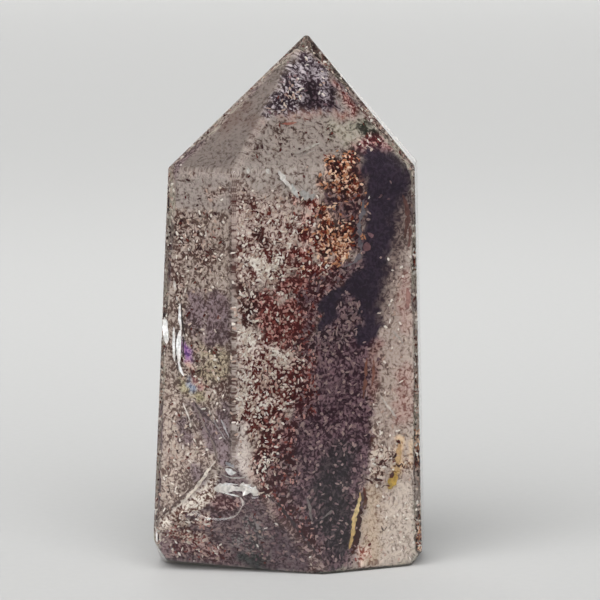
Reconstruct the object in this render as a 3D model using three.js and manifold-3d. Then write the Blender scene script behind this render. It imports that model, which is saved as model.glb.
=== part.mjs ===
// Garden quartz point: one polished six-sided quartz crystal, cut to a point and standing on its base.
// Millimetres, +Z up, origin at the centre of the footprint. The front is towards -Y.
import * as THREE from "three";
import { ConvexGeometry } from "three/addons/geometries/ConvexGeometry.js";
import { mergeVertices } from "three/addons/utils/BufferGeometryUtils.js";
import Module from "manifold-3d";

const wasm = await Module();
wasm.setup();

// Driving sizes. A bearing is the compass direction that a face looks to, in degrees from +X towards +Y.
const HEIGHT = 65;
const TIP = new THREE.Vector2(1.9, 0.4);
const TIP_BLUNT = 0.25;

// Each side of the prism: how far it stands from the middle at the base, how much it leans inwards
// going up, where the sloping top face above it starts, and the rise and inset of its bevel at the foot.
const SIDES = [
  { bearing: -64, reach: 10.7, lean: 0.95, shoulder: 49.4, rise: 0.95, inset: 0.7 },
  { bearing: -4, reach: 16.35, lean: 1.3, shoulder: 49.35, rise: 1.7, inset: 1.3 },
  { bearing: 56, reach: 13.85, lean: 1.0, shoulder: 49.3, rise: 0.6, inset: 0.6 },
  { bearing: 116, reach: 12.45, lean: 1.0, shoulder: 49.2, rise: 0.6, inset: 0.6 },
  { bearing: 176, reach: 16.3, lean: 2.6, shoulder: 49.5, rise: 0.6, inset: 0.6 },
  { bearing: -124, reach: 16.5, lean: 1.05, shoulder: 49.5, rise: 0.6, inset: 0.6 },
];

// Flat cuts at the foot. Each looks to its bearing, dips below the horizon, and passes through a point.
const UNDERCUT = { bearing: -99.5, dip: 27.1, at: new THREE.Vector3(-6.78, -15.0, 14.47) };
const HEEL = { bearing: -111, dip: 74.4, at: new THREE.Vector3(4.74, -9.42, 0) };
const HEEL_CORNER = { bearing: -165, dip: 33, at: new THREE.Vector3(-16.45, -7.75, 3.6) };
const RIGHT_CORNER = { bearing: -34.5, dip: 32, at: new THREE.Vector3(16.05, -4.05, 2.2) };

// Faces that meet with a turn of more than EDGE_TURN degrees have a narrow bevel between them.
// It is wider round the undercut, where the edges are worn.
const EDGE_WIDTH = 0.2;
const WORN_WIDTH = 0.4;
const EDGE_TURN = 20;

// Shell-shaped breaks at the top of the undercut: the middle of each, its radius and depth, its ripples,
// and the direction on the face, in degrees, that the ripples crowd towards.
const SCOOPS = [
  { at: new THREE.Vector3(-9.2, -12.7, 11.2), radius: 4.5, depth: 0.75, ripples: 5, towards: 150 },
  { at: new THREE.Vector3(-6.0, -14.2, 12.9), radius: 2.3, depth: 0.5, ripples: 3, towards: 60 },
  { at: new THREE.Vector3(-4.6, -13.6, 11.4), radius: 1.3, depth: 0.35, ripples: 2, towards: 100 },
];
const RIPPLE_HEIGHT = 0.045;
const RIPPLE_CROWDING = 0.6;
const SCOOP_SEGMENTS = 48;
const POINTS_PER_RIPPLE = 4;

// A small nick on the left edge.
const NICK = { at: new THREE.Vector3(-15.75, -8.8, 29.9), size: new THREE.Vector3(0.5, 0.9, 1.3) };
const NICK_DETAIL = 4;

// Points closer together than this are one point.
const CLOSE = 1e-4;

// A unit vector from a bearing and its tilt above the horizon.
function direction(bearing, tilt) {
  const across = THREE.MathUtils.degToRad(bearing);
  const up = THREE.MathUtils.degToRad(tilt);
  return new THREE.Vector3(
    Math.cos(across) * Math.cos(up),
    Math.sin(across) * Math.cos(up),
    Math.sin(up),
  );
}

// The plane of a face. Its normal points out of the crystal.
function face(bearing, tilt, point) {
  return new THREE.Plane().setFromNormalAndCoplanarPoint(direction(bearing, tilt), point);
}

// The distance from the middle to a side of the prism at a height.
function reachAt(side, height) {
  return side.reach - height * Math.tan(THREE.MathUtils.degToRad(side.lean));
}

// The point on a side at a height, straight out from the middle.
function onSide(side, height) {
  return direction(side.bearing, 0).multiplyScalar(reachAt(side, height)).setZ(height);
}

function sideFace(side) {
  return face(side.bearing, side.lean, onSide(side, 0));
}

// The sloping face over a side runs from its shoulder to the sharp tip.
function topFace(side) {
  const tipReach = direction(side.bearing, 0).dot(new THREE.Vector3(TIP.x, TIP.y, 0));
  const run = reachAt(side, side.shoulder) - tipReach;
  const climb = HEIGHT + TIP_BLUNT - side.shoulder;
  const tilt = THREE.MathUtils.radToDeg(Math.atan2(run, climb));
  return face(side.bearing, tilt, onSide(side, side.shoulder));
}

// The bevel at the foot of a side runs from its rise on the side to its inset on the base.
function footBevel(side) {
  const dip = THREE.MathUtils.radToDeg(Math.atan2(side.inset, side.rise));
  return face(side.bearing, -dip, onSide(side, side.rise));
}

// The point where three planes meet, or null where they have none.
function meeting(a, b, c) {
  const normals = new THREE.Matrix3().set(
    a.normal.x, a.normal.y, a.normal.z,
    b.normal.x, b.normal.y, b.normal.z,
    c.normal.x, c.normal.y, c.normal.z,
  );
  if (Math.abs(normals.determinant()) < 1e-6) return null;
  return new THREE.Vector3(-a.constant, -b.constant, -c.constant).applyMatrix3(normals.invert());
}

// The corners of the solid that lies behind every plane.
function cornersOf(planes) {
  const corners = [];
  for (let i = 0; i < planes.length; i += 1) {
    for (let j = i + 1; j < planes.length; j += 1) {
      for (let k = j + 1; k < planes.length; k += 1) {
        const point = meeting(planes[i], planes[j], planes[k]);
        if (!point || planes.some((plane) => plane.distanceToPoint(point) > CLOSE / 10)) continue;
        if (!corners.some((corner) => corner.distanceTo(point) < CLOSE)) corners.push(point);
      }
    }
  }
  return corners;
}

// The narrow bevels: one for each edge, its plane square to the line that halves the corner.
function edgeBevels(planes, worn) {
  const corners = cornersOf(planes);
  const bevels = [];
  planes.forEach((first, i) => {
    for (const second of planes.slice(i + 1)) {
      const turn = first.normal.angleTo(second.normal);
      if (turn < THREE.MathUtils.degToRad(EDGE_TURN)) continue;
      const ends = corners.filter((corner) =>
        Math.abs(first.distanceToPoint(corner)) < CLOSE && Math.abs(second.distanceToPoint(corner)) < CLOSE);
      if (ends.length < 2) continue;
      const width = first === worn || second === worn ? WORN_WIDTH : EDGE_WIDTH;
      const normal = first.normal.clone().add(second.normal).normalize();
      const inner = ends[0].clone().addScaledVector(normal, -(width / 2) * Math.tan(turn / 2));
      bevels.push(new THREE.Plane().setFromNormalAndCoplanarPoint(normal, inner));
    }
  });
  return bevels;
}

// A dish to cut out of a face. Its ripples lie in circles that crowd to one side, as in a shell.
function scoop(shape, normal) {
  const steps = shape.ripples * POINTS_PER_RIPPLE;
  const profile = [];
  for (let i = 0; i <= steps; i += 1) {
    const across = i / steps;
    const wave = RIPPLE_HEIGHT * Math.cos(2 * Math.PI * shape.ripples * across) * Math.sin(Math.PI * across);
    profile.push(new THREE.Vector2(across * shape.radius, wave - shape.depth * (1 - across * across)));
  }
  const clear = 2 * shape.depth;
  profile.push(new THREE.Vector2(shape.radius + clear, clear), new THREE.Vector2(0, clear));
  const geometry = new THREE.LatheGeometry(profile, SCOOP_SEGMENTS);
  const position = geometry.getAttribute("position");
  const side = THREE.MathUtils.degToRad(shape.towards);
  for (let i = 0; i < position.count; i += 1) {
    const inwards = Math.max(0, shape.radius - Math.hypot(position.getX(i), position.getZ(i)));
    position.setX(i, position.getX(i) + RIPPLE_CROWDING * inwards * Math.cos(side));
    position.setZ(i, position.getZ(i) - RIPPLE_CROWDING * inwards * Math.sin(side));
  }
  geometry.applyQuaternion(new THREE.Quaternion().setFromUnitVectors(new THREE.Vector3(0, 1, 0), normal));
  return geometry.translate(shape.at.x, shape.at.y, shape.at.z);
}

// A small ball, stretched, to cut out of an edge.
function nick(shape) {
  const geometry = new THREE.IcosahedronGeometry(1, NICK_DETAIL);
  geometry.scale(shape.size.x, shape.size.y, shape.size.z);
  return geometry.translate(shape.at.x, shape.at.y, shape.at.z);
}

function toManifold(geometry) {
  geometry.deleteAttribute("normal");
  geometry.deleteAttribute("uv");
  const merged = mergeVertices(geometry, CLOSE);
  return new wasm.Manifold(new wasm.Mesh({
    numProp: 3,
    vertProperties: merged.getAttribute("position").array,
    triVerts: new Uint32Array(merged.index.array),
  }));
}

function toGeometry(solid) {
  const { vertProperties, triVerts } = solid.getMesh();
  const geometry = new THREE.BufferGeometry();
  geometry.setAttribute("position", new THREE.BufferAttribute(vertProperties, 3));
  return geometry.setIndex(new THREE.BufferAttribute(triVerts, 1));
}

// The faces of the crystal: sides, sloping top, blunt tip, base, and the cuts round its foot.
const undercut = face(UNDERCUT.bearing, -UNDERCUT.dip, UNDERCUT.at);
const faces = [
  ...SIDES.map(sideFace),
  ...SIDES.map(topFace),
  ...SIDES.map(footBevel),
  face(0, 90, new THREE.Vector3(0, 0, HEIGHT)),
  face(0, -90, new THREE.Vector3(0, 0, 0)),
  undercut,
  ...[HEEL, HEEL_CORNER, RIGHT_CORNER].map((cut) => face(cut.bearing, -cut.dip, cut.at)),
];

// The crystal with its narrow bevels, then with the breaks cut out of it.
const whole = new ConvexGeometry(cornersOf([...faces, ...edgeBevels(faces, undercut)]));
const breaks = [...SCOOPS.map((shape) => scoop(shape, undercut.normal)), nick(NICK)];
const crystal = breaks.reduce((solid, piece) => solid.subtract(toManifold(piece)), toManifold(whole));

// The middle of its bounding box goes over the origin.
const geometry = toGeometry(crystal);
geometry.computeBoundingBox();
const middle = geometry.boundingBox.getCenter(new THREE.Vector3());
geometry.translate(-middle.x, -middle.y, 0);

const quartz = new THREE.MeshStandardMaterial({ color: "#8c827d", roughness: 0.08, metalness: 0 });
const point = new THREE.Mesh(geometry, quartz);
point.name = "quartz_point";

const root = new THREE.Group();
root.add(point);
export default root;
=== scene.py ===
import math

import bmesh
import bpy
import numpy as np
from mathutils import Euler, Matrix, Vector, noise
from mathutils.bvhtree import BVHTree


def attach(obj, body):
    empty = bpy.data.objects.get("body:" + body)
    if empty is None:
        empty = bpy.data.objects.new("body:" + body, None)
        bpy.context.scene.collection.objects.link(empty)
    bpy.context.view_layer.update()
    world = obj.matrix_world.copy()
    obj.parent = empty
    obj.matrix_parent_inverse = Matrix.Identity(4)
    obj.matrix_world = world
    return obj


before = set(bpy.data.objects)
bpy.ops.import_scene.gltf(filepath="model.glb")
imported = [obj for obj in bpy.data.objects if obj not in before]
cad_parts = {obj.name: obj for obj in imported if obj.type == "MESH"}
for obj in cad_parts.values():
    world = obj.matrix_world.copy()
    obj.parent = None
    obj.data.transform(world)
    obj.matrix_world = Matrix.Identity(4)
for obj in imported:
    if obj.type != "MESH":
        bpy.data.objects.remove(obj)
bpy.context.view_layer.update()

# The camera. It stands in front of the crystal and a little above it, about 40 cm away, and looks
# down by a few degrees, as the photograph does. The picture is 600 pixels wide and high.
MM = 0.001
CAMERA_PLACE = Vector((1.08, -403.62, 79.99)) * MM
CAMERA_PITCH = 6.71
FOCAL_PIXELS = 3300
PICTURE_PIXELS = 600

camera = bpy.data.objects.new("camera", bpy.data.cameras.new("camera"))
bpy.context.scene.collection.objects.link(camera)
camera.location = CAMERA_PLACE
camera.rotation_euler = Euler((math.radians(90 - CAMERA_PITCH), 0, 0))
camera.data.sensor_width = 36
camera.data.lens = camera.data.sensor_width * FOCAL_PIXELS / PICTURE_PIXELS
camera.data.clip_start = 0.01
bpy.context.scene.camera = camera


# The studio: a pale sweep that is floor and background in one, a dim room with one large soft light
# high up in front, and a lamp overhead. None of it is part of the object. The class and the functions
# that come first build its materials and objects, and those of every piece after it.
class Wire:
    """An output of a node tree. Sums on it add Math nodes, and node() adds a node of any other kind."""

    def __init__(self, tree, socket=None):
        self.tree = tree
        self.socket = socket

    def node(self, kind, settings, inputs, output=0):
        made = self.tree.nodes.new(kind)
        for name, value in settings.items():
            setattr(made, name, value)
        for name, value in inputs.items():
            if isinstance(value, Wire):
                self.tree.links.new(value.socket, made.inputs[name])
            else:
                made.inputs[name].default_value = value
        return Wire(self.tree, made.outputs[output])

    def math(self, operation, *values, clamp=False):
        settings = {"operation": operation, "use_clamp": clamp}
        return self.node("ShaderNodeMath", settings, dict(enumerate(values)))

    def __add__(self, other):
        return self.math("ADD", self, other)

    def __radd__(self, other):
        return self.math("ADD", other, self)

    def __sub__(self, other):
        return self.math("SUBTRACT", self, other)

    def __rsub__(self, other):
        return self.math("SUBTRACT", other, self)

    def __mul__(self, other):
        return self.math("MULTIPLY", self, other)

    def __rmul__(self, other):
        return self.math("MULTIPLY", other, self)

    def clamped(self):
        return self.math("ADD", self, 0.0, clamp=True)

    def mix(self, first, second):
        """Two colours mixed by this value: the first at 0, the second at 1."""
        settings = {"data_type": "RGBA", "clamp_factor": True}
        return self.node("ShaderNodeMix", settings, {0: self, 6: first, 7: second}, output=2)

    def place(self):
        """The place on the object, in metres."""
        return self.node("ShaderNodeTexCoord", {}, {}, output=3)

    def attribute(self, name, output=0):
        """A value stored on the mesh of the object: a colour, or a number from output 2."""
        return self.node("ShaderNodeAttribute", {"attribute_name": name}, {}, output=output)

    def grains(self, place, per_metre, detail, distortion=0.0):
        """Smooth noise from 0 to 1, with so many grains in a metre."""
        inputs = {"Vector": place, "Scale": per_metre, "Detail": detail, "Distortion": distortion}
        return self.node("ShaderNodeTexNoise", {}, inputs)


def tone(code):
    """A colour from its six-digit web code, as the linear values that Blender uses."""
    shares = [int(code[i:i + 2], 16) / 255 for i in (1, 3, 5)]
    return tuple(((s + 0.055) / 1.055) ** 2.4 if s > 0.04 else s / 12.92 for s in shares)


def with_alpha(colour):
    return (*colour, 1.0)


def new_material(name, colour):
    """A material with an empty tree but for its output, and a wire to build on."""
    material = bpy.data.materials.new(name)
    material.use_nodes = True
    material.diffuse_color = with_alpha(colour)
    tree = material.node_tree
    tree.nodes.clear()
    return material, Wire(tree), tree.nodes.new("ShaderNodeOutputMaterial")


def add_surface(wire, output, inputs):
    """The surface of a material: a Principled shader with these inputs."""
    shader = wire.node("ShaderNodeBsdfPrincipled", {}, inputs)
    wire.tree.links.new(shader.socket, output.inputs["Surface"])


def add_object(name, data):
    """A new object in the scene."""
    added = bpy.data.objects.new(name, data)
    bpy.context.scene.collection.objects.link(added)
    return added


def direction(bearing, tilt):
    """A unit vector from its bearing, +X towards +Y, and its tilt above the horizon, in degrees."""
    across, up = math.radians(bearing), math.radians(tilt)
    return Vector((math.cos(across) * math.cos(up), math.sin(across) * math.cos(up), math.sin(up)))


SWEEP_HALF_WIDTH = 2.0
SWEEP_FRONT = -1.5
SWEEP_BACK = 3.0
SWEEP_BEND_RADIUS = 0.5
SWEEP_BEND_STEPS = 18
SWEEP_TOP = 2.0
PAPER_COLOUR = tone("#a9a9a8")
PAPER_GRAIN_COLOUR = tone("#a5a5a4")
PAPER_GRAINS_PER_METRE = 900.0
# Painted shade: from SHADE_START to SHADE_END, in front of the crystal, the paper is painted darker.
PAPER_SHADED_COLOUR = tone("#5c5b5a")
SHADE_START = -0.04
SHADE_END = -0.11
ROOM_STRENGTH = 0.26
WINDOW_DIRECTION = direction(-101, 31)
WINDOW_STRENGTH = 5.4
WINDOW_EDGE = 0.55
WINDOW_CORE = 0.92
LAMP_PLACE = Vector((-0.03, 0.27, 0.36))
LAMP_SIZE = 0.2
LAMP_POWER = 0.35

sweep_steps = [(SWEEP_FRONT, 0.0), (SWEEP_BACK, 0.0)]
for step in range(1, SWEEP_BEND_STEPS + 1):
    turn = math.radians(90 * step / SWEEP_BEND_STEPS)
    sweep_steps.append((
        SWEEP_BACK + SWEEP_BEND_RADIUS * math.sin(turn),
        SWEEP_BEND_RADIUS * (1 - math.cos(turn)),
    ))
sweep_steps.append((SWEEP_BACK + SWEEP_BEND_RADIUS, SWEEP_TOP))
sweep_points = [(x, y, z) for y, z in sweep_steps for x in (-SWEEP_HALF_WIDTH, SWEEP_HALF_WIDTH)]
sweep_faces = [(i, i + 1, i + 3, i + 2) for i in range(0, len(sweep_points) - 2, 2)]
sweep_mesh = bpy.data.meshes.new("sweep")
sweep_mesh.from_pydata(sweep_points, [], sweep_faces)
sweep = add_object("sweep", sweep_mesh)
sweep_mesh.shade_smooth()
paper, wire, output = new_material("paper", PAPER_COLOUR)
grain = wire.grains(wire.place(), PAPER_GRAINS_PER_METRE, 2.0)
distance_back = wire.node("ShaderNodeSeparateXYZ", {}, {"Vector": wire.place()}, output=1)
# Painted shade: the paper darkens towards the front, for a dark room that the lower faces reflect.
shaded = wire.node("ShaderNodeMapRange", {"interpolation_type": "SMOOTHSTEP"}, {
    "Value": distance_back,
    "From Min": SHADE_START,
    "From Max": SHADE_END,
})
paper_tone = grain.mix(with_alpha(PAPER_COLOUR), with_alpha(PAPER_GRAIN_COLOUR))
add_surface(wire, output, {
    "Base Color": shaded.mix(paper_tone, with_alpha(PAPER_SHADED_COLOUR)),
    "Roughness": 0.9,
})
sweep_mesh.materials.append(paper)

world = bpy.data.worlds.new("room")
bpy.context.scene.world = world
world.use_nodes = True
world.node_tree.nodes.clear()
wire = Wire(world.node_tree)
looking = wire.node("ShaderNodeTexCoord", {}, {})
towards = wire.node("ShaderNodeVectorMath", {"operation": "DOT_PRODUCT"}, {
    0: looking,
    1: WINDOW_DIRECTION,
}, output=1)
glow = wire.node("ShaderNodeMapRange", {"interpolation_type": "SMOOTHSTEP"}, {
    "Value": towards,
    "From Min": WINDOW_EDGE,
    "From Max": WINDOW_CORE,
    "To Min": ROOM_STRENGTH,
    "To Max": WINDOW_STRENGTH,
})
room = wire.node("ShaderNodeBackground", {}, {"Color": (1.0, 1.0, 1.0, 1.0), "Strength": glow})
output = world.node_tree.nodes.new("ShaderNodeOutputWorld")
world.node_tree.links.new(room.socket, output.inputs["Surface"])

lamp = add_object("lamp_overhead", bpy.data.lights.new("lamp_overhead", "AREA"))
lamp.data.shape = "DISK"
lamp.data.size = LAMP_SIZE
lamp.data.energy = LAMP_POWER
lamp.location = LAMP_PLACE

scene = bpy.context.scene
scene.view_settings.view_transform = "Standard"
scene.cycles.use_denoising = True
scene.cycles.max_bounces = 16
scene.cycles.diffuse_bounces = 4
scene.cycles.glossy_bounces = 8
scene.cycles.transmission_bounces = 16
scene.cycles.transparent_max_bounces = 8
scene.cycles.caustics_reflective = True
scene.cycles.caustics_refractive = True
scene.cycles.blur_glossy = 0.5


# The quartz: one crystal, ground flat and polished clear, with a faint smoky tint through its whole
# body and hair-fine polishing marks on its faces.
QUARTZ_IOR = 1.544
SMOKE_COLOUR = tone("#c9b8ae")
SMOKE_DENSITY = 22.0
MARKS_PER_METRE = 2600.0
MARK_SQUEEZE = (1.0, 1.0, 0.12)
MARK_LEVEL = 0.62
MARK_ROUGHNESS = 0.3

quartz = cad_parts["quartz_point"]
clear, wire, output = new_material("clear_quartz", tone("#c9c4bf"))
upright = wire.node("ShaderNodeMapping", {}, {"Vector": wire.place(), "Scale": MARK_SQUEEZE})
marks = wire.grains(upright, MARKS_PER_METRE, 3.0)
add_surface(wire, output, {
    "Base Color": with_alpha((1.0, 1.0, 1.0)),
    "Roughness": (marks - MARK_LEVEL).clamped() * MARK_ROUGHNESS,
    "IOR": QUARTZ_IOR,
    "Transmission Weight": 1.0,
})
smoke = wire.node("ShaderNodeVolumeAbsorption", {}, {
    "Color": with_alpha(SMOKE_COLOUR),
    "Density": SMOKE_DENSITY,
})
wire.tree.links.new(smoke.socket, output.inputs["Volume"])
quartz.data.materials[0] = clear


# The garden bed: the thick body of clay, chlorite and iron oxide that the crystal grew over. It fills
# the middle of the quartz and follows its faces a millimetre or two in. For each face of the quartz,
# FACES has the direction that it looks to, and how deep the bed lies behind it in millimetres.
BED_CENTRE = Vector((0, 2, 26)) * MM
BED_SUBDIVISIONS = 7
BED_ROUNDING = 0.1 * MM
EDGE_RISE = 0.55 * MM
EDGE_REACH = 1.2 * MM
WINDOW_SOFTNESS = 0.1 * MM
LUMP_SHARE = 0.25
LUMP_RADIUS = 15 * MM
LUMP_SIZE = 5.0
FINE_LUMP_SHARE = 0.5
FINE_LUMP_SIZE = 1.3
LEAST_CLIMB = 0.05
LEAST_SLANT = 0.3
LEAST_CLEARANCE = 0.4 * MM
FAR_AWAY = 1000 * MM
ROOM_FOR_GROWTH = 1.5 * LEAST_CLEARANCE
FACES = {
    "front": (direction(-64, 1), 0.95),
    "left": (direction(-124, 1), 0.8),
    "right": (direction(-4, 1), 1.2),
    "back_right": (direction(56, 1), 2.2),
    "back": (direction(116, 1), 1.8),
    "back_left": (direction(176, 3), 1.2),
    "top_front": (direction(-64, 31), 1.0),
    "top_left": (direction(-124, 47), 0.9),
    "top_right": (direction(-4, 40), 1.3),
    "top_back_right": (direction(56, 36), 1.8),
    "top_back": (direction(116, 37), 1.8),
    "top_back_left": (direction(176, 45), 1.3),
    "undercut": (direction(-99.5, -27), 0.9),
    "base": (direction(0, -90), 0.5),
}


def mm_noise(point, size, seed=0.0):
    """Smooth noise from about -1 to 1 at a point, with features of a size in millimetres."""
    return noise.noise(Vector(point) / (size * MM) + Vector((seed, seed, seed)))


bed_shape = bmesh.new()
bmesh.ops.create_icosphere(bed_shape, subdivisions=BED_SUBDIVISIONS, radius=1.0)
bed_mesh = bpy.data.meshes.new("garden_bed")
bed_shape.to_mesh(bed_mesh)
bed_shape.free()

# How far the bed reaches in each direction: to the nearest face of the quartz, less the depth there.
# The nearest few count together, so that the edges of the bed are round, and it comes closer there.
normals = np.array([normal for normal, _ in FACES.values()])
depths = np.array([depth for _, depth in FACES.values()]) * MM
face_reaches = (np.array([vertex.co for vertex in quartz.data.vertices]) @ normals.T).max(axis=0)
outwards = np.array([vertex.co.normalized() for vertex in bed_mesh.vertices])
lumps = np.array([
    mm_noise(spot, LUMP_SIZE) + FINE_LUMP_SHARE * mm_noise(spot, FINE_LUMP_SIZE, seed=7.0)
    for spot in LUMP_RADIUS * outwards
])
climbs = outwards @ normals.T
room_inside = face_reaches - normals @ np.array(BED_CENTRE) - (1 + LUMP_SHARE * lumps[:, None]) * depths
gaps = np.where(climbs > LEAST_CLIMB, room_inside / np.maximum(climbs, LEAST_CLIMB), FAR_AWAY)
nearest, next_nearest = np.sort(gaps, axis=1)[:, :2].T
pulls = np.exp(-(gaps - nearest[:, None]) / BED_ROUNDING)
reaches = nearest - BED_ROUNDING * np.log(pulls.sum(axis=1))
reaches += EDGE_RISE * np.exp((nearest - next_nearest) / EDGE_REACH)
nearness = np.exp(-(gaps - nearest[:, None]) / WINDOW_SOFTNESS)
windows = dict(zip(FACES, (nearness / nearness.sum(axis=1)[:, None]).T))

# It stays clear of the breaks and the nick in the quartz too.
quartz_surface = BVHTree.FromObject(quartz, bpy.context.evaluated_depsgraph_get())
clearances = []
for vertex, way, reach in zip(bed_mesh.vertices, outwards, reaches):
    _, normal, _, quartz_reach = quartz_surface.ray_cast(BED_CENTRE, Vector(way))
    slant = max(LEAST_SLANT, normal.dot(Vector(way)))
    reach = min(reach, quartz_reach - LEAST_CLEARANCE / slant)
    vertex.co = BED_CENTRE + Vector(way) * reach
    clearances.append((quartz_reach - reach) * slant)
bed_mesh.shade_smooth()
bed = add_object("garden_bed", bed_mesh)

# Each mineral shows in patches behind one of the faces. A patch is a row of joined discs, each with its
# x, z and radius in millimetres. Noise warps the outlines of the patches and frays them. Only vector
# noise needs a seed, and without one it would differ each time.
GARDEN_SEED = 3
WARP = 0.4
WARP_SIZE = 2.4
FINE_WARP = 0.4
FINE_WARP_SIZE = 0.8
FRAY = 0.9
FRAY_SIZE = 1.1
PATCH_EDGE = 0.8
LEAST_RUN = 0.1
BORDER_WIDTH = 0.45 * MM
noise.seed_set(GARDEN_SEED)
bed_points = np.array([vertex.co for vertex in bed_mesh.vertices]) / MM
warped = bed_points + WARP * np.array([noise.noise_vector(Vector(p) / WARP_SIZE) for p in bed_points])
warped += FINE_WARP * np.array([noise.noise_vector(Vector(p) / FINE_WARP_SIZE) for p in bed_points])
frayed = FRAY * np.array([noise.noise(Vector(p) / FRAY_SIZE) for p in bed_points])
tones = {name: np.zeros((len(bed_points), 3)) for name in ("dark_tone", "middle_tone", "pale_tone")}
GROWTH_KINDS = {
    "cream": "cream_curls",
    "rust": "rust_curls",
    "brick": "brick_curls",
    "murk": "murk_curls",
    "grains": "dark_grains",
}
shares = {name: np.zeros(len(bed_points)) for name in ("dark", *GROWTH_KINDS)}


def patch(window, rows, edge=PATCH_EDGE):
    """How far each point of the bed behind a face is inside any of the rows of discs, from 0 to 1."""
    cover = np.zeros(len(bed_points))
    for row in rows:
        for (x, z, radius), (next_x, next_z, next_radius) in zip(row, row[1:] or row):
            run_x, run_z = next_x - x, next_z - z
            run_squared = max(run_x ** 2 + run_z ** 2, LEAST_RUN ** 2)
            off_x, off_z = warped[:, 0] - x, warped[:, 2] - z
            along = np.clip((off_x * run_x + off_z * run_z) / run_squared, 0, 1)
            away = np.hypot(off_x - along * run_x, off_z - along * run_z)
            away += frayed * min(1, edge) - radius - along * (next_radius - radius)
            cover = np.maximum(cover, np.clip(0.5 - away / edge, 0, 1))
    return cover * np.clip(2 * window, 0, 1)


def paint(mask, dark, middle, pale, share, **growths):
    """Gives the bed a mineral where the mask is: three tones, the share that is dark, and growths."""
    for name, code in (("dark_tone", dark), ("middle_tone", middle), ("pale_tone", pale)):
        tones[name] += (np.array(tone(code)) - tones[name]) * mask[:, None]
    for name in shares:
        amount = share if name == "dark" else growths.get(name, 0)
        shares[name] += (amount - shares[name]) * mask


def over(values, level, softness=0.05):
    """From 0 to 1, where the values rise past a level."""
    return np.clip((values - level) / softness, 0, 1)


def border(first, second):
    """How near each point of the bed is to the border between two faces, up to 1 on it."""
    beyond = gaps[:, [list(FACES).index(name) for name in (first, second)]] - nearest[:, None]
    return np.exp(-beyond.sum(axis=1) / BORDER_WIDTH)


everywhere = np.ones(len(bed_points))
front = windows["front"]
left = windows["left"]
top_front = windows["top_front"]
top_left = windows["top_left"]
undercut = windows["undercut"]
upper_front = front + top_front
paint(everywhere, "#6b544d", "#9c8b83", "#c4b4aa", 0.34, cream=0.12, grains=0.03)
paint(top_front, "#5f4d46", "#8a7e77", "#a69b94", 0.28, grains=0.02)
paint(top_left, "#61534d", "#786d67", "#8d817b", 0.3)

# Behind the left face: brown specks on grey, an olive cast, purple stains, and a smear of rainbow that
# is
# painted reflection: the colours of light off a thin crack, painted into the bed.
LEFT_PLAIN = [[(-13.5, 50, 2), (-8, 49, 3.4)], [(-13.5, 46.5, 1.6), (-8, 46, 1.4)]]
LEFT_BROWN = [
    [(-13.8, 43.6, 0.9), (-13.2, 41.6, 0.9), (-12.6, 39.4, 1), (-13.8, 37.4, 1), (-13.4, 35, 1)],
    [(-12.4, 43.6, 0.6), (-10.9, 41.4, 1.1), (-10, 39, 1)],
    [(-9.6, 46.2, 0.5), (-8, 46.9, 0.5)],
    [(-12.8, 49.4, 0.7), (-11.9, 49, 0.5)],
    [(-8.2, 24.6, 0.8), (-7.5, 22.6, 0.9)],
    [(-11.6, 25.2, 0.6), (-9.6, 23.4, 0.8)],
]
LEFT_OLIVE = [
    [(-9.4, 28.4, 1.4), (-8.4, 26, 1.6), (-10, 25.2, 1.2)],
    [(-12.8, 23.4, 0.8), (-10.6, 22.2, 0.8)],
]
LEFT_PURPLE = [
    [(-11, 33.6, 1.2), (-11.2, 31.2, 1.1)],
    [(-8.9, 34.4, 1.1), (-8.4, 32.8, 1.9), (-8.3, 30.8, 1.9), (-9.4, 29.8, 1.3)],
    [(-7.6, 21, 0.8), (-7.9, 18.6, 1.5), (-7.6, 16, 1.3), (-7.2, 14.2, 0.8)],
    [(-11.4, 21.2, 0.6), (-10.2, 19.3, 1.1), (-9, 17, 1.2)],
    [(-12.8, 18.6, 0.6), (-12.6, 16.6, 0.6)],
    [(-10.9, 13.2, 0.8), (-11, 11.8, 0.6)],
]
LEFT_TAN = [
    [(-14.8, 23, 1.1), (-14.4, 18, 1.4), (-14.2, 13.4, 1.6), (-14.6, 10.2, 1.3)],
    [(-12.4, 14.8, 1.4), (-10.2, 15.6, 1.1), (-11.4, 17.4, 0.6)],
]
RAINBOW_PURPLE = [[(-12.6, 28.6, 0.3), (-12.3, 27.5, 0.45), (-12, 26.4, 0.45)]]
RAINBOW_PINK = [[(-11.9, 26.1, 0.35), (-11.5, 25.4, 0.35)], [(-11.3, 24.4, 0.3), (-10.9, 23.6, 0.35)]]
RAINBOW_BLUE = [[(-12, 24.2, 0.3), (-11.6, 23.3, 0.45), (-11.7, 22.8, 0.3)]]
RAINBOW_YELLOW = [[(-12.9, 23.6, 0.25), (-12.6, 22.8, 0.3)], [(-11.4, 22.3, 0.35), (-10.4, 21.9, 0.35)]]
paint(left, "#5e4a43", "#938379", "#bdaea4", 0.46, cream=0.16, grains=0.06)
paint(patch(left, LEFT_PLAIN), "#6b5a54", "#90847e", "#aca19b", 0.28, cream=0.01, grains=0.02)
paint(patch(left, LEFT_BROWN), "#4f352f", "#8f7c73", "#c4b4aa", 0.55, cream=0.25, grains=0.12)
paint(patch(left, LEFT_OLIVE), "#55463d", "#93846f", "#c4b6a0", 0.46, cream=0.25, grains=0.08)
paint(patch(left, LEFT_TAN), "#665048", "#a39086", "#cfc0b4", 0.44, cream=0.3, grains=0.06)
paint(patch(left, LEFT_PURPLE), "#4c3a3c", "#735f60", "#98868a", 0.44, cream=0.06, grains=0.03)
# Painted reflection: the rainbow colours of a thin crack, painted into the bed as its own colour.
paint(patch(left, RAINBOW_PURPLE, 0.5), "#5c3a78", "#8c5aa0", "#b98ac0", 0.4)
paint(patch(left, RAINBOW_PINK, 0.5), "#8a5a5c", "#c09088", "#dcc0b0", 0.4)
paint(patch(left, RAINBOW_BLUE, 0.5), "#5c6278", "#8a98b4", "#b4bcc8", 0.4)
paint(patch(left, RAINBOW_YELLOW, 0.5), "#6f654a", "#a39a78", "#c8bfa0", 0.4)

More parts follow.
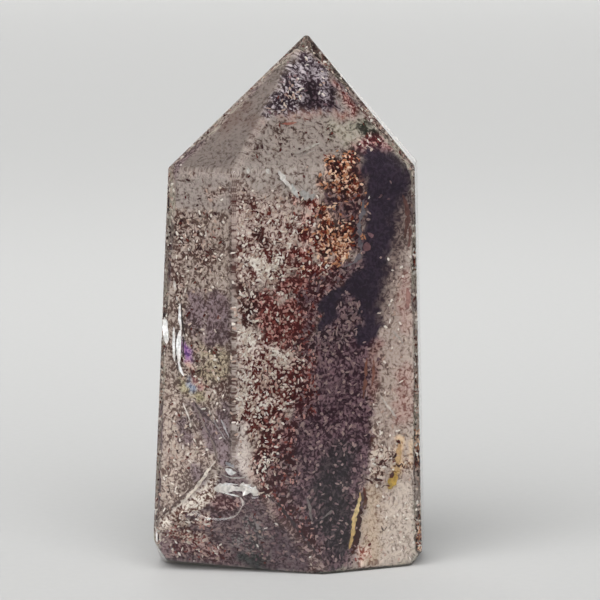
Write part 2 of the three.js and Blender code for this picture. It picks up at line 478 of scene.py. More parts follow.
# Behind the front face, at its right: pale clay with a brown border, pink and tan stains, and specks.
BEIGE = [[(13.5, 50, 3), (13.5, 38, 4), (12.5, 26, 4.5), (12.5, 12, 5), (12, 1, 5)]]
BROWN_EDGE = [
    [(15.2, 46.8, 0.5), (14.4, 44.6, 0.8), (13.5, 42.3, 0.8), (12.9, 40, 0.7)],
    [(12.8, 39, 0.7), (12.2, 37, 0.6), (11.5, 34.5, 0.4), (11.1, 31, 0.4)],
]
PINK = [[(14.3, 36, 0.9), (14, 33, 1.2), (14.2, 30, 1)], [(14, 24, 1.2), (13.9, 19, 1.3)]]
STREAKS = [[(10.3, 27.5, 0.5), (10, 24, 0.6), (9.8, 20.6, 0.4)]]
BEIGE_SPECKLED = [
    [(9.4, 17, 0.6), (10, 14.8, 1), (10.4, 12, 1)],
    [(12, 14.4, 0.8), (12.6, 12.6, 0.8), (14.2, 12.8, 0.6)],
    [(11.4, 6, 0.7), (13.2, 4.6, 0.8)],
]
TAN_STRIPE = [[(13, 15.8, 0.5), (13.2, 14, 0.5), (13, 12.4, 0.5)], [(14.8, 15.6, 0.5), (15, 12.9, 0.5)]]
YELLOW = [[(12.7, 11.8, 0.6), (12.3, 10.4, 0.7)]]
CREAM_FOOT = [[(9.9, 10, 0.9), (9.8, 6, 1), (9.6, 1, 1.1)]]
PALE_FOOT = [[(13.4, 9, 1.8), (13.2, 4, 2.6), (12.6, 0, 2.6)]]
RED_SPECKS = [[(8.3, 2.4, 0.5), (9.6, 2, 0.4)], [(8.4, 1, 0.4)]]
paint(patch(front, BEIGE), "#725f57", "#a08e85", "#c2b2a8", 0.32, cream=0.1)
paint(patch(front, PINK), "#855c54", "#a88a82", "#c4aaa0", 0.36, cream=0.05)
paint(patch(front, BEIGE_SPECKLED), "#542c20", "#b09c8f", "#e8dacc", 0.46, cream=0.5, grains=0.1)
paint(patch(front, TAN_STRIPE, 0.5), "#946840", "#cfa780", "#f0d6b4", 0.3)
paint(patch(front, YELLOW, 0.5), "#6f4c18", "#a88038", "#d0ae60", 0.42)
paint(patch(front, PALE_FOOT), "#8f8177", "#bcada1", "#d8cbc0", 0.3, cream=0.15)
paint(patch(front, CREAM_FOOT), "#8a6c5a", "#b09c88", "#d0bca8", 0.28)
paint(patch(front, RED_SPECKS, 0.5), "#8c3826", "#cca392", "#f5e2d6", 0.45, brick=0.2)

# At its left: cream clay between dark red threads, and shadowed hollows.
FRONT_PLAIN = [[(-4, 50, 3), (1, 49, 3)], [(0.5, 46.6, 1.2), (2.4, 46.4, 0.7)]]
SPECKLED = [
    [(-6, 45, 1.4), (-2, 43.6, 1.7), (0, 41.8, 1.4)],
    [(-5.6, 42, 1.8), (-3.5, 40.6, 1.7), (-1.2, 40.4, 1.2)],
    [(-6.6, 39.5, 1.4), (-6.4, 37, 1.4)],
]
CREAM = [
    [(-6.6, 32, 1.8), (-6.3, 27, 2.4), (-5.8, 22, 2.4), (-5.6, 19, 2)],
    [(-3.4, 28, 1.6), (-2.4, 25, 1.9), (-2.6, 21.6, 2)],
    [(-0.8, 27, 1), (0, 24.4, 1.1), (-0.4, 21.4, 1.2)],
    [(-3.6, 38, 2), (-1, 38.4, 1.3), (-2.6, 36.6, 1.1)],
]
WHITE = [
    [(-4.4, 38.6, 0.8), (-3.4, 37.2, 1)],
    [(-1.8, 38.2, 0.6)],
    [(-6, 31.6, 0.8), (-5.4, 29.6, 0.9), (-5.4, 27.6, 0.8)],
    [(-2, 28.2, 0.7), (-1.1, 26.7, 0.7)],
    [(-2.8, 24.8, 0.7), (-3.1, 22.6, 0.8)],
    [(-6.2, 25, 0.8), (-5.8, 22.5, 0.8)],
]
SHADOWED = [
    [(-6.2, 36, 0.6), (-5.6, 34.6, 0.9), (-5.2, 33.2, 0.9), (-5.5, 31.6, 0.6)],
    [(-4.7, 35.2, 0.6), (-4.3, 33, 0.7), (-4, 31.3, 0.5)],
    [(-6.6, 45.8, 0.4), (-4.6, 45.6, 0.4)],
    [(-4.2, 42.2, 0.7), (-3.8, 41, 0.7)],
]
EDGE_CREAM = [[(-6.9, 34.8, 0.4), (-6.8, 31, 0.7), (-6.8, 26, 0.7), (-6.8, 20.5, 0.7)]]
EDGE_BEIGE = [[(-6.5, 18.5, 1.1), (-6.4, 15.4, 1.2), (-6.5, 13, 1.2)]]
paint(patch(front, FRONT_PLAIN), "#65534c", "#92867f", "#b5aaa3", 0.3, cream=0.01, grains=0.03)
paint(patch(front, SPECKLED), "#5c2c26", "#ab978f", "#ddccc2", 0.45, cream=0.5, grains=0.08)
paint(patch(front, CREAM), "#561a16", "#977870", "#ead9d1", 0.64, cream=1.0, grains=0.15)
paint(patch(front, WHITE), "#63403a", "#cbbeb2", "#fcf8f0", 0.36, cream=1.0)
paint(patch(front, SHADOWED), "#3a1412", "#6b4c46", "#c4aea6", 0.7, cream=0.6, grains=0.2)
paint(patch(front, EDGE_CREAM, 0.5), "#6b4a42", "#bdaea4", "#eae0d8", 0.42, cream=0.8)
paint(patch(front, EDGE_BEIGE), "#8a7872", "#c2b5ae", "#e6dbd4", 0.25, cream=0.2, grains=0.02)

# The dark mass behind the front face, its murky curls, and the maroon and brick red beside it.
DUSK = [
    [(6.6, 28, 4), (6, 22, 3.7), (5.9, 16, 3.75), (5.1, 10, 3.6), (4.6, 5, 3), (5.2, 2, 2.3)],
    [(2.8, 24, 1.4), (2.2, 20, 2), (1.3, 14, 2.2), (1.6, 9, 2.2), (3, 5, 1.6)],
]
SMOKY = [[(5.4, 14, 2.2), (4.8, 10.6, 2.4), (4.6, 7, 2.4), (5.4, 3, 1.6)]]
MAROON_MASS = [
    [(1.7, 34.9, 1.4), (1.9, 32.4, 1.9), (1.2, 30, 1.7), (0.8, 28.4, 1.2)],
    [(2.6, 36.7, 0.9), (4.4, 36.9, 1.1), (6.4, 36.4, 1.1), (7.8, 37, 0.8)],
    [(3, 34.8, 1.2), (4.8, 35, 1.2)],
    [(2.6, 28.6, 1.2), (1.9, 26, 1.1), (1.7, 23.4, 1), (1.5, 20.6, 1.2)],
    [(-0.5, 18.4, 1), (-1, 16.6, 1.4), (-1.2, 14.6, 1.6), (-1.4, 12.6, 1.8), (-2.2, 10.8, 1.3)],
    [(-1.8, 10.6, 1.2), (-0.4, 8, 1.2), (1, 5.8, 1.1), (2.6, 3.4, 1)],
]
MAROON = [
    [(-2.3, 25.2, 0.6), (-1.6, 24.2, 0.8), (-3.2, 23, 0.8)],
    [(0.4, 27, 0.6), (0.9, 25.4, 0.7), (0.4, 22.4, 0.8)],
    [(-3.4, 19.8, 0.7), (-2.8, 18.2, 1.1), (-3.1, 16.4, 1.3), (-3.3, 14.6, 1.3), (-3.8, 13.2, 0.9)],
    [(-0.4, 21, 0.6), (-1.6, 20.4, 0.6)],
    [(-3.4, 12, 0.8), (-3.4, 10.6, 0.7)],
]
BRICK = [
    [(-3.4, 33.9, 1), (-2.4, 32.3, 1.6), (-1.4, 30.6, 1.5), (-0.4, 29.6, 1.1)],
    [(-1.8, 34.4, 0.8), (-0.2, 35.4, 0.9), (1, 36.1, 0.6)],
    [(-0.4, 32.6, 1.2), (0.4, 31, 1)],
    [(-3.3, 31, 0.8), (-2.4, 29.6, 0.8), (-1.3, 28.6, 0.6)],
]
RUST_GROUND = [[(7.4, 50.2, 1.1), (7.5, 47.5, 1.4), (6.9, 44.6, 1.9), (7.7, 41.6, 1.2)]]
NIGHT = [
    [(11.8, 52, 3.6), (11.9, 48.5, 3.3), (11.6, 46, 2.6), (11, 43.5, 2.2)],
    [(11, 43.5, 2.2), (10.6, 41, 2), (10.3, 38.5, 1.8)],
    [(10.3, 38.5, 1.8), (9.6, 36, 1.9), (9.2, 33.5, 2), (9.2, 31, 1.8), (8.9, 29.2, 1.5)],
    [(8.4, 36.4, 1.3), (7, 34.3, 1.3), (5.2, 33.3, 1.3), (3.9, 32.8, 1)],
    [(6.6, 33.6, 1.2), (5, 31.8, 1.2), (3.8, 30.4, 1)],
]
MURK_TOP = [
    [(4.4, 45.4, 0.8), (6, 44.8, 1.3), (7.7, 44.6, 1.1)],
    [(6.7, 43.2, 0.9), (7.9, 42, 0.7), (8, 39.8, 0.6)],
]
MURK = [
    [(6.4, 32.8, 1.1), (6.8, 31, 1.5), (5.6, 29.5, 1.5), (3.6, 28.8, 1.3)],
    [(6.3, 36.8, 0.7), (7.8, 37.6, 0.6)],
]
paint(patch(front, DUSK, 0.7), "#2f1722", "#543b46", "#8a6c73", 0.5, murk=0.45)
paint(patch(front, SMOKY, 1.4), "#1d1119", "#30252d", "#544549", 0.54, murk=0.22)
paint(patch(front, STREAKS, 1), "#553430", "#856460", "#b0928a", 0.46)
paint(patch(front, MAROON_MASS), "#34080f", "#5a343c", "#b08884", 0.62, brick=0.35, murk=0.5)
paint(patch(front, MAROON), "#3c080b", "#754444", "#dcbcb0", 0.7, cream=0.7, brick=0.4, grains=0.1)
paint(patch(front, BRICK), "#44090a", "#84403c", "#cf9c94", 0.62, cream=0.25, brick=0.9)
paint(patch(upper_front, RUST_GROUND), "#2b1018", "#48282c", "#8a5c50", 0.6, rust=0.1)
paint(patch(upper_front, NIGHT, 0.4), "#261b29", "#2d2231", "#392d3c", 0.5, murk=0.02)
paint(patch(front, BROWN_EDGE, 1.8), "#3f3136", "#63504e", "#84716a", 0.46)
paint(patch(front, MURK_TOP), "#2b1018", "#4c3038", "#a07a74", 0.58, murk=0.5, rust=0.25)
paint(patch(front, MURK), "#2b131d", "#57404a", "#a3878b", 0.58, murk=1.0, grains=0.04)

# The rust behind the front face: iron oxide in red and orange tufts with tan tips.
RED = [
    [(0.2, 45.7, 0.4), (1.6, 45.4, 0.5), (2.8, 44.7, 0.6), (3.6, 43.9, 0.5)],
    [(1.3, 43.6, 0.5), (2.2, 42.8, 0.6)],
    [(1, 41.3, 0.6), (2.9, 40.7, 1.1)],
    [(0.2, 39.4, 0.7), (1.7, 39.2, 0.8)],
    [(0.8, 38, 0.7), (2.2, 37.4, 0.8), (3.8, 37.7, 0.7)],
]
RUST = [
    [(4.3, 50.2, 0.4), (4.7, 49.3, 0.6), (6, 49.4, 0.9), (7.2, 50, 0.8)],
    [(6.4, 48.6, 1.2), (7, 47, 1.1), (6.4, 46, 0.8)],
    [(3.3, 47.5, 0.45), (4.4, 47.6, 0.7), (5.4, 47.2, 1)],
    [(3.6, 44.2, 0.6), (4.3, 43.2, 0.8), (3.6, 42.2, 0.9), (3.8, 41, 0.9)],
    [(3.8, 41, 0.9), (5, 41.6, 1), (6.6, 41.6, 0.9)],
    [(5.6, 40.4, 1.2), (6.2, 39.2, 1), (5.4, 38.4, 0.8)],
    [(4.2, 39.6, 0.8), (3.2, 39.4, 0.5)],
]
RUST_SHADE = [
    [(5.1, 50.2, 0.5), (5.3, 48.9, 0.5)],
    [(6.7, 45.9, 0.5), (6.1, 46.6, 0.4)],
    [(4.6, 40.3, 0.4)],
    [(3.4, 47.4, 0.4), (4.3, 47.1, 0.4)],
    [(7.6, 48.3, 0.5), (7.9, 47.2, 0.4)],
]
TAN = [
    [(6.6, 48.9, 0.4), (7.2, 49.6, 0.4)],
    [(5.4, 47.9, 0.45)],
    [(7.2, 47, 0.45), (6.9, 46.3, 0.3)],
    [(4.3, 43.6, 0.4), (3.6, 42.5, 0.5)],
    [(5.7, 40.4, 0.6), (6, 39.3, 0.6), (6.3, 38.5, 0.4)],
    [(4.9, 41, 0.35)],
    [(7, 41.5, 0.35)],
]
paint(patch(front, RED, 0.6), "#480504", "#904036", "#f5d4c8", 0.68, brick=0.7, rust=0.2, cream=0.4)
paint(patch(upper_front, RUST, 0.5), "#280302", "#6b2418", "#f0c8b0", 0.7, rust=0.9)
paint(patch(upper_front, RUST_SHADE, 0.4), "#240204", "#380c0a", "#7c4030", 0.66, rust=0.1)
paint(patch(front, TAN, 0.4), "#4a1408", "#c08560", "#ffe8d0", 0.44, rust=0.6)

# Along the edges of the quartz the bed is darker, but paler along the front-right edge below the dark
# mass.
paint(border("front", "left"), "#33241f", "#4a3b36", "#655550", 0.55)
below_night = over(-bed_points[:, 2], -42.0, 3.0)
beside_night = over(bed_points[:, 2], 43.0, 4.0)
paint(0.6 * border("front", "right") * below_night, "#83736b", "#bdb0a6", "#ddd2c9", 0.25)
paint(0.7 * border("top_front", "top_left"), "#5c4a43", "#7c716a", "#968a83", 0.34)
paint(0.7 * border("left", "top_left"), "#5c4a43", "#7c716a", "#968a83", 0.34)
paint(0.8 * border("top_front", "top_right"), "#4a3f38", "#5f554f", "#7c716a", 0.4)
paint(0.8 * border("top_left", "top_back_left"), "#4a3f38", "#5f554f", "#7c716a", 0.4)

# Behind the undercut: dun and maroon, a grey and green cast, and cream along its upper border.
UNDER_CREAM = [
    [(-15.9, 5.8, 0.5), (-14, 7.4, 0.7), (-12.4, 9, 1), (-10.9, 10.6, 1.2), (-9.6, 12.4, 1)],
    [(-11.6, 8.4, 0.8), (-10.2, 10, 0.8), (-8.9, 11, 0.6)],
    [(-13.6, 6.8, 0.5), (-12.4, 6.7, 0.5)],
]
UNDER_RED = [
    [(-15.4, 5.2, 0.6), (-13.8, 5.2, 0.8), (-12.2, 4.9, 0.9), (-10.8, 4.6, 0.6)],
    [(-11, 6.4, 0.5), (-10.2, 7, 0.5)],
    [(3, 1, 0.6), (4, 0.2, 0.6)],
]
UNDER_MAROON = [
    [(-9, 9.3, 1), (-7.2, 9, 1.1)],
    [(-13.5, 3.4, 1.2), (-10.4, 3, 1.2), (-8.4, 2.2, 0.8)],
]
UNDER_MAUVE = [[(-16.2, 4.6, 0.7), (-15.8, 3, 0.9)]]
UNDER_GREY = [[(-4.9, 6.6, 1), (-3.5, 5.2, 1)], [(-4.7, 3.8, 1), (-3.5, 2.4, 0.7)], [(-6.4, 4.4, 0.8)]]
UNDER_GREEN = [[(-6, 2.6, 0.6), (-5, 2, 0.8), (-4, 1.2, 0.8)]]
UNDER_VIOLET = [[(-2.6, 5.6, 1), (-1.2, 4, 1.4), (0.9, 2, 1.6)], [(-2, 1.4, 1)]]
UNDER_BAND = [[(-2.9, 9.7, 0.3), (-0.2, 6.2, 0.5), (1, 4.6, 0.6), (2.4, 2.7, 0.7), (3.8, 0.7, 0.7)]]
paint(undercut, "#402a2e", "#69545a", "#8f7b7b", 0.46, murk=0.35, grains=0.05)
paint(patch(undercut, UNDER_VIOLET), "#35222b", "#59434b", "#7c696e", 0.45, murk=0.3)
paint(patch(undercut, UNDER_MAROON), "#46181e", "#805c5e", "#c8aaa4", 0.5, cream=0.3, brick=0.2)
paint(patch(undercut, UNDER_RED), "#5a2018", "#94706a", "#f0d8c8", 0.52, cream=0.6, brick=0.5)
paint(patch(undercut, UNDER_MAUVE), "#604648", "#8a6f72", "#a38c8e", 0.4)
paint(patch(undercut, UNDER_GREY), "#42383b", "#6d6264", "#a39a98", 0.5, cream=0.1, murk=0.6)
paint(patch(undercut, UNDER_GREEN), "#121516", "#1d2022", "#464a49", 0.42)
paint(patch(undercut, UNDER_CREAM, 0.5), "#5a3226", "#b8a494", "#fcf4ea", 0.5, cream=1.0)
paint(patch(undercut, UNDER_BAND, 0.5), "#4a3232", "#7c6460", "#b5a098", 0.48, cream=0.12, murk=0.2)

# Behind the top faces: curls in a patch under the tip with a straight lower limit, red at its right.
TIP_FLOOR = 55.6
TIP_SPECKLED = [
    [(1.6, 63, 0.6), (1.2, 60.8, 1.4), (0.4, 58.6, 1.8), (-0.6, 57, 2)],
    [(2.4, 62, 0.8), (3, 60, 1.3), (3.6, 58, 1.6), (3.6, 56, 2.2)],
]
TIP_CURLS = [
    [(-0.1, 61.3, 0.5), (-0.9, 59.4, 0.6), (-2, 57, 0.8), (-3.2, 55.9, 0.5)],
    [(1.9, 62.9, 0.3), (2.8, 62.1, 0.4), (1.7, 61, 0.6)],
    [(0.4, 59, 0.7), (0, 57, 0.8)],
]
TIP_DARK = [
    [(1.6, 58.3, 0.7), (2.6, 59, 0.7), (2.4, 57.6, 0.9)],
    [(4.9, 58.8, 0.35), (4.9, 58, 0.35), (5, 57, 0.4)],
    [(1.4, 56.6, 0.6), (3.4, 56.6, 0.8), (5, 56.4, 0.6)],
]
TIP_BAND = [[(-1.6, 55.4, 0.2), (1.6, 55.3, 0.3), (5.6, 55.4, 0.3)]]
TIP_RED = [[(5.2, 59.9, 0.3), (5.9, 58.9, 0.5), (6.6, 57.4, 0.6), (7.5, 55.6, 0.5)]]
TIP_ROSE = [[(-0.6, 54.8, 0.25), (0.4, 54.8, 0.25)], [(-3.1, 55.1, 0.3)], [(6.2, 55, 0.3)]]
TIP_GREEN = [[(8, 54, 0.5), (8.8, 53.3, 0.6), (10.2, 53.4, 0.5)], [(9, 54.3, 0.4)]]
TIP_OLIVE = [[(5.4, 53.6, 1.2), (7.2, 52.8, 1.2), (8.8, 54, 1)]]
TIP_PINK = [[(8.2, 51.8, 0.6), (10.1, 52.2, 0.7), (12.1, 52, 0.8)]]
TIP_SPARSE = [
    [(3.4, 54.4, 0.5), (3.2, 53.7, 0.4)],
    [(4.9, 53.2, 0.4)],
    [(0.9, 53.3, 0.6)],
    [(-2, 54, 0.6), (-1, 52.6, 0.5)],
    [(-4.6, 52.4, 0.4), (-4.4, 51, 0.4)],
    [(-3.8, 54, 0.4)],
]
SIDE_WARM = [[(-6, 56.4, 0.9), (-8, 54, 0.9)], [(-4.4, 54.6, 1)]]
above = (bed_points[:, 2] > TIP_FLOOR).astype(float)
paint(patch(top_left, SIDE_WARM), "#583f37", "#705c55", "#82726b", 0.34)
paint(patch(top_front, TIP_OLIVE), "#6b6255", "#9a9184", "#b8b0a3", 0.3)
paint(patch(top_front, TIP_SPARSE), "#432f2a", "#857870", "#a89b93", 0.5, grains=0.1)
paint(patch(top_front, TIP_SPECKLED, 0.4) * above, "#3a2631", "#867b80", "#beb4b9", 0.48, cream=0.08)
paint(patch(top_front, TIP_CURLS) * above, "#261620", "#82767b", "#dcd3d7", 0.6,
      cream=0.28, murk=0.15, grains=0.1)
paint(patch(top_front, TIP_DARK) * above, "#1c0c15", "#38242e", "#68565f", 0.7, murk=0.08)
paint(patch(top_front, TIP_BAND, 0.3), "#8c675e", "#a38880", "#b59e96", 0.35)
paint(patch(top_front, TIP_ROSE, 0.3), "#7c3c34", "#a06c60", "#c09a90", 0.4)
paint(patch(top_front, TIP_RED, 0.5), "#561210", "#84504a", "#d4b0aa", 0.6, brick=0.15, cream=0.12)
paint(patch(top_front, TIP_GREEN), "#10160e", "#464a3f", "#a09f8c", 0.66, grains=0.1)
paint(patch(top_front, TIP_PINK), "#50181d", "#90605f", "#d4aeab", 0.54, cream=0.4, brick=0.2)

# The other sides aren't seen in front. There smooth noise places the same minerals: a dark mass with a
# maroon border, rust tufts beside it, cream clay further out, and spots of green chlorite.
MASS_SIZE = 13.0
TUFT_SIZE = 4.5
PATCH_SIZE = 7.0
HIDDEN_EDGE = 2.5


def ground_noise(size, seed):
    """Smooth noise over the bed, finer at a third of the size too, with features of a size in mm."""
    shift = Vector((seed, seed, seed))
    return np.array([
        noise.noise(Vector(p) / size + shift) + 0.4 * noise.noise(3 * Vector(p) / size)
        for p in warped
    ])


seen = front + left + undercut + top_front + top_left
tufts = ground_noise(TUFT_SIZE, seed=11.7)
patches = ground_noise(PATCH_SIZE, seed=21.1)
mass = ground_noise(MASS_SIZE, seed=4.3) + 0.3 * tufts
beside = over(mass, -0.08) * over(-mass, -0.24)
hidden = np.clip(1.5 - 2 * seen, 0, 1)
further = hidden * over(warped[:, 1] + 6 * tufts + 3 * patches, 0.0, HIDDEN_EDGE)
paint(hidden, "#5c4640", "#9c8c84", "#c9bab0", 0.4, cream=0.15, grains=0.05)
paint(hidden * over(patches, 0.12), "#5c5046", "#a8a092", "#d4cabb", 0.34, cream=0.2, grains=0.03)
paint(hidden * over(-patches, 0.24), "#4c3a3c", "#7c6866", "#a39092", 0.44, cream=0.06, grains=0.03)
paint(further * over(-mass, 0.12) * over(tufts, -0.1), "#561a16", "#a08078", "#ecdcd4", 0.6,
      cream=0.6, grains=0.08)
paint(further * over(mass, 0.04), "#3c080b", "#704444", "#dcbcb0", 0.64, brick=0.6, cream=0.2)
paint(further * over(mass, 0.14, 0.08), "#2f1722", "#5c434e", "#94767c", 0.5, murk=0.7)
paint(further * over(mass, 0.38, 0.04), "#2c222f", "#342a38", "#403543", 0.5, murk=0.03)
paint(further * beside * over(tufts, 0.24), "#280302", "#6b2418", "#f0c8b0", 0.68, rust=1.0)
paint(further * over(-mass, 0.05) * over(-tufts, 0.36), "#1c2218", "#6b705c", "#b5b39c", 0.55, murk=0.2)

paint(border("front", "right") * beside_night, "#261b29", "#33272f", "#4a3c3e", 0.5)

for name, colours in tones.items():
    layer = bed_mesh.attributes.new(name, "FLOAT_COLOR", "POINT")
    layer.data.foreach_set("color", np.hstack([colours, np.ones((len(colours), 1))]).ravel())
roomy = np.array(clearances) > ROOM_FOR_GROWTH
values = {"clearance": clearances, "dark_share": shares["dark"]}
for name, kind in GROWTH_KINDS.items():
    values[kind + "_front"] = shares[name] * roomy * seen
    values[kind + "_back"] = shares[name] * roomy * (1 - seen)
for name, amounts in values.items():
    bed_mesh.attributes.new(name, "FLOAT", "POINT").data.foreach_set("value", amounts)

# The bed has no shine of its own, because clay and quartz bend light almost alike.
THREADS_PER_METRE = 1400.0
SPECKS_PER_METRE = 2400.0
CLUMPS_PER_METRE = 420.0
THREAD_HALF_WIDTH = 0.08
THREAD_CONTRAST = 7.0
SPECK_CONTRAST = 3.0
CLUMP_CONTRAST = 1.6
SHARE_CONTRAST = 2.4
MIDDLE_GAIN = 2.6
MIDDLE_SHIFT = 0.3
PALE_LEVEL = 0.45
PALE_GAIN = 1.2
SOIL_RELIEF = 0.2 * MM
soil, wire, output = new_material("garden_soil", tone("#6b5048"))
threads = wire.grains(wire.place(), THREADS_PER_METRE, 1.0, distortion=1.0)
specks = wire.grains(wire.place(), SPECKS_PER_METRE, 1.0)
clumps = wire.grains(wire.place(), CLUMPS_PER_METRE, 2.0)
dark = wire.attribute("dark_tone")
middle = wire.attribute("middle_tone")
pale = wire.attribute("pale_tone")
dark_share = wire.attribute("dark_share", output=2)
off_thread = wire.math("ABSOLUTE", threads - 0.5) - THREAD_HALF_WIDTH
level = 0.5 + off_thread * THREAD_CONTRAST + (specks - 0.5) * SPECK_CONTRAST
level = level + (clumps - 0.5) * CLUMP_CONTRAST - (dark_share - 0.5) * SHARE_CONTRAST
out_of_dark = (level * MIDDLE_GAIN - MIDDLE_SHIFT).clamped()
into_pale = ((level - PALE_LEVEL) * PALE_GAIN).clamped()
relief = {"Height": level, "Strength": 0.4, "Distance": SOIL_RELIEF}
add_surface(wire, output, {
    "Base Color": out_of_dark.mix(dark, into_pale.mix(middle, pale)),
    "Roughness": 0.75,
    "Specular IOR Level": 0.0,
    "Normal": wire.node("ShaderNodeBump", {}, relief),
})
bed_mesh.materials.append(soil)
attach(bed, "root")


# The growths: curled threads of clay and iron oxide, and dark grains, that stand up from the bed into
# the clear quartz. Each kind is scattered where its mineral lies, in clusters, and has three tones. It
# is two pieces: one for the faces seen in front, and one for the others.
GROWTH_SOCKETS = [
    ("Geometry", "NodeSocketGeometry"),
    ("Share", "NodeSocketString"),
    ("Per Square Metre", "NodeSocketFloat"),
    ("Size", "NodeSocketFloat"),
    ("Rise", "NodeSocketFloat"),
    ("Clusters Per Metre", "NodeSocketFloat"),
    ("Cluster Level", "NodeSocketFloat"),
    ("Seed", "NodeSocketInt"),
    ("First Tone", "NodeSocketMaterial"),
    ("Second Tone", "NodeSocketMaterial"),
    ("Third Tone", "NodeSocketMaterial"),
]
TONE_NAMES = ("First Tone", "Second Tone", "Third Tone")
CURL_BEND = {
    "Resolution": 4,
    "Start": (-1.0, -0.5, 0.0),
    "Start Handle": (-0.2, 1.2, 0.6),
    "End Handle": (0.2, -1.0, 0.6),
    "End": (1.0, 0.6, 0.0),
}
CURL_SECTION = {"Resolution": 4, "Radius": 0.75}
CURL_STRETCH = (1.0, 1.0, 1.0)
GRAIN_STRETCH = (1.9, 0.8, 0.8)
GROWTH_RISE = 0.5
GROWTH_CLUSTERS = 1200.0
GROWTH_CLUSTER_LEVEL = 0.45
GROWTH_TILT = 0.6
SMALLEST_SCALE = 0.5
LARGEST_SCALE = 1.5


def curl(size, wire):
    """A short thick thread with a double bend."""
    bend = wire.node("GeometryNodeCurvePrimitiveBezierSegment", {"mode": "POSITION"}, CURL_BEND)
    section = wire.node("GeometryNodeCurvePrimitiveCircle", {"mode": "RADIUS"}, CURL_SECTION)
    solid = wire.node("GeometryNodeCurveToMesh", {}, {
        "Curve": bend,
        "Profile Curve": section,
        "Fill Caps": True,
    })
    return wire.node("GeometryNodeTransform", {}, {
        "Geometry": solid,
        "Scale": wire.node("ShaderNodeCombineXYZ", {}, {"X": size, "Y": size, "Z": size}),
    })


def grain_of(size, wire):
    """A small rounded grain."""
    return wire.node("GeometryNodeMeshIcoSphere", {}, {"Radius": size, "Subdivisions": 1})


def growth_tree(name, single, stretch):
    """A tree that scatters one shape over a mesh, with random turns, sizes and tones."""
    tree = bpy.data.node_groups.new(name, "GeometryNodeTree")
    for socket_name, kind in GROWTH_SOCKETS:
        tree.interface.new_socket(socket_name, in_out="INPUT", socket_type=kind)
    tree.interface.new_socket("Geometry", in_out="OUTPUT", socket_type="NodeSocketGeometry")
    group_input = tree.nodes.new("NodeGroupInput")
    given = {output.name: Wire(tree, output) for output in group_input.outputs if output.name}
    wire = Wire(tree)
    share = wire.node("GeometryNodeInputNamedAttribute", {"data_type": "FLOAT"}, {
        "Name": given["Share"],
    })
    scattered = tree.nodes.new("GeometryNodeDistributePointsOnFaces")
    tree.links.new(given["Geometry"].socket, scattered.inputs["Mesh"])
    tree.links.new((share * given["Per Square Metre"]).socket, scattered.inputs["Density"])
    tree.links.new(given["Seed"].socket, scattered.inputs["Seed"])
    clearance = wire.node("GeometryNodeInputNamedAttribute", {"data_type": "FLOAT"}, {
        "Name": "clearance",
    })
    height = wire.node("FunctionNodeRandomValue", {"data_type": "FLOAT"}, {
        2: 0.0,
        3: given["Rise"],
        8: given["Seed"],
    }, output=1)
    lift = wire.node("ShaderNodeVectorMath", {"operation": "SCALE"}, {
        0: Wire(tree, scattered.outputs["Normal"]),
        "Scale": clearance * height,
    })
    places = wire.node("GeometryNodeSetPosition", {}, {
        "Geometry": Wire(tree, scattered.outputs["Points"]),
        "Offset": lift,
    })
    scattered_place = wire.node("GeometryNodeInputPosition", {}, {})
    clusters = wire.grains(scattered_place, given["Clusters Per Metre"], 1.0)
    turn = wire.node("FunctionNodeRandomValue", {"data_type": "FLOAT_VECTOR"}, {
        0: (-GROWTH_TILT, -GROWTH_TILT, 0.0),
        1: (GROWTH_TILT, GROWTH_TILT, math.tau),
        8: given["Seed"] + 1,
    })
    turned = wire.node("FunctionNodeRotateRotation", {"rotation_space": "LOCAL"}, {
        "Rotation": Wire(tree, scattered.outputs["Rotation"]),
        "Rotate By": wire.node("FunctionNodeEulerToRotation", {}, {"Euler": turn}),
    })
    scale = wire.node("FunctionNodeRandomValue", {"data_type": "FLOAT_VECTOR"}, {
        0: tuple(SMALLEST_SCALE * length for length in stretch),
        1: tuple(LARGEST_SCALE * length for length in stretch),
        8: given["Seed"] + 2,
    })
    grown = wire.node("GeometryNodeInstanceOnPoints", {}, {
        "Points": places,
        "Selection": wire.math("GREATER_THAN", clusters, given["Cluster Level"]),
        "Instance": single(given["Size"], wire),
        "Rotation": turned,
        "Scale": scale,
    })
    shade = wire.node("FunctionNodeRandomValue", {"data_type": "INT"}, {
        4: 0,
        5: len(TONE_NAMES) - 1,
        8: given["Seed"] + 3,
    }, output=2)
    grown = wire.node("GeometryNodeStoreNamedAttribute", {"data_type": "INT", "domain": "INSTANCE"}, {
        "Geometry": grown,
        "Name": "shade",
        "Value": shade,
    })
    grown = wire.node("GeometryNodeRealizeInstances", {}, {"Geometry": grown})
    stored = wire.node("GeometryNodeInputNamedAttribute", {"data_type": "INT"}, {"Name": "shade"})
    for number, socket_name in enumerate(TONE_NAMES):
        chosen = wire.node("FunctionNodeCompare", {"data_type": "INT", "operation": "EQUAL"}, {
            2: stored,
            3: number,
        })
        grown = wire.node("GeometryNodeSetMaterial", {}, {
            "Geometry": grown,
            "Selection": chosen,
            "Material": given[socket_name],
        })
    group_output = tree.nodes.new("NodeGroupOutput")
    tree.links.new(grown.socket, group_output.inputs["Geometry"])
    return tree


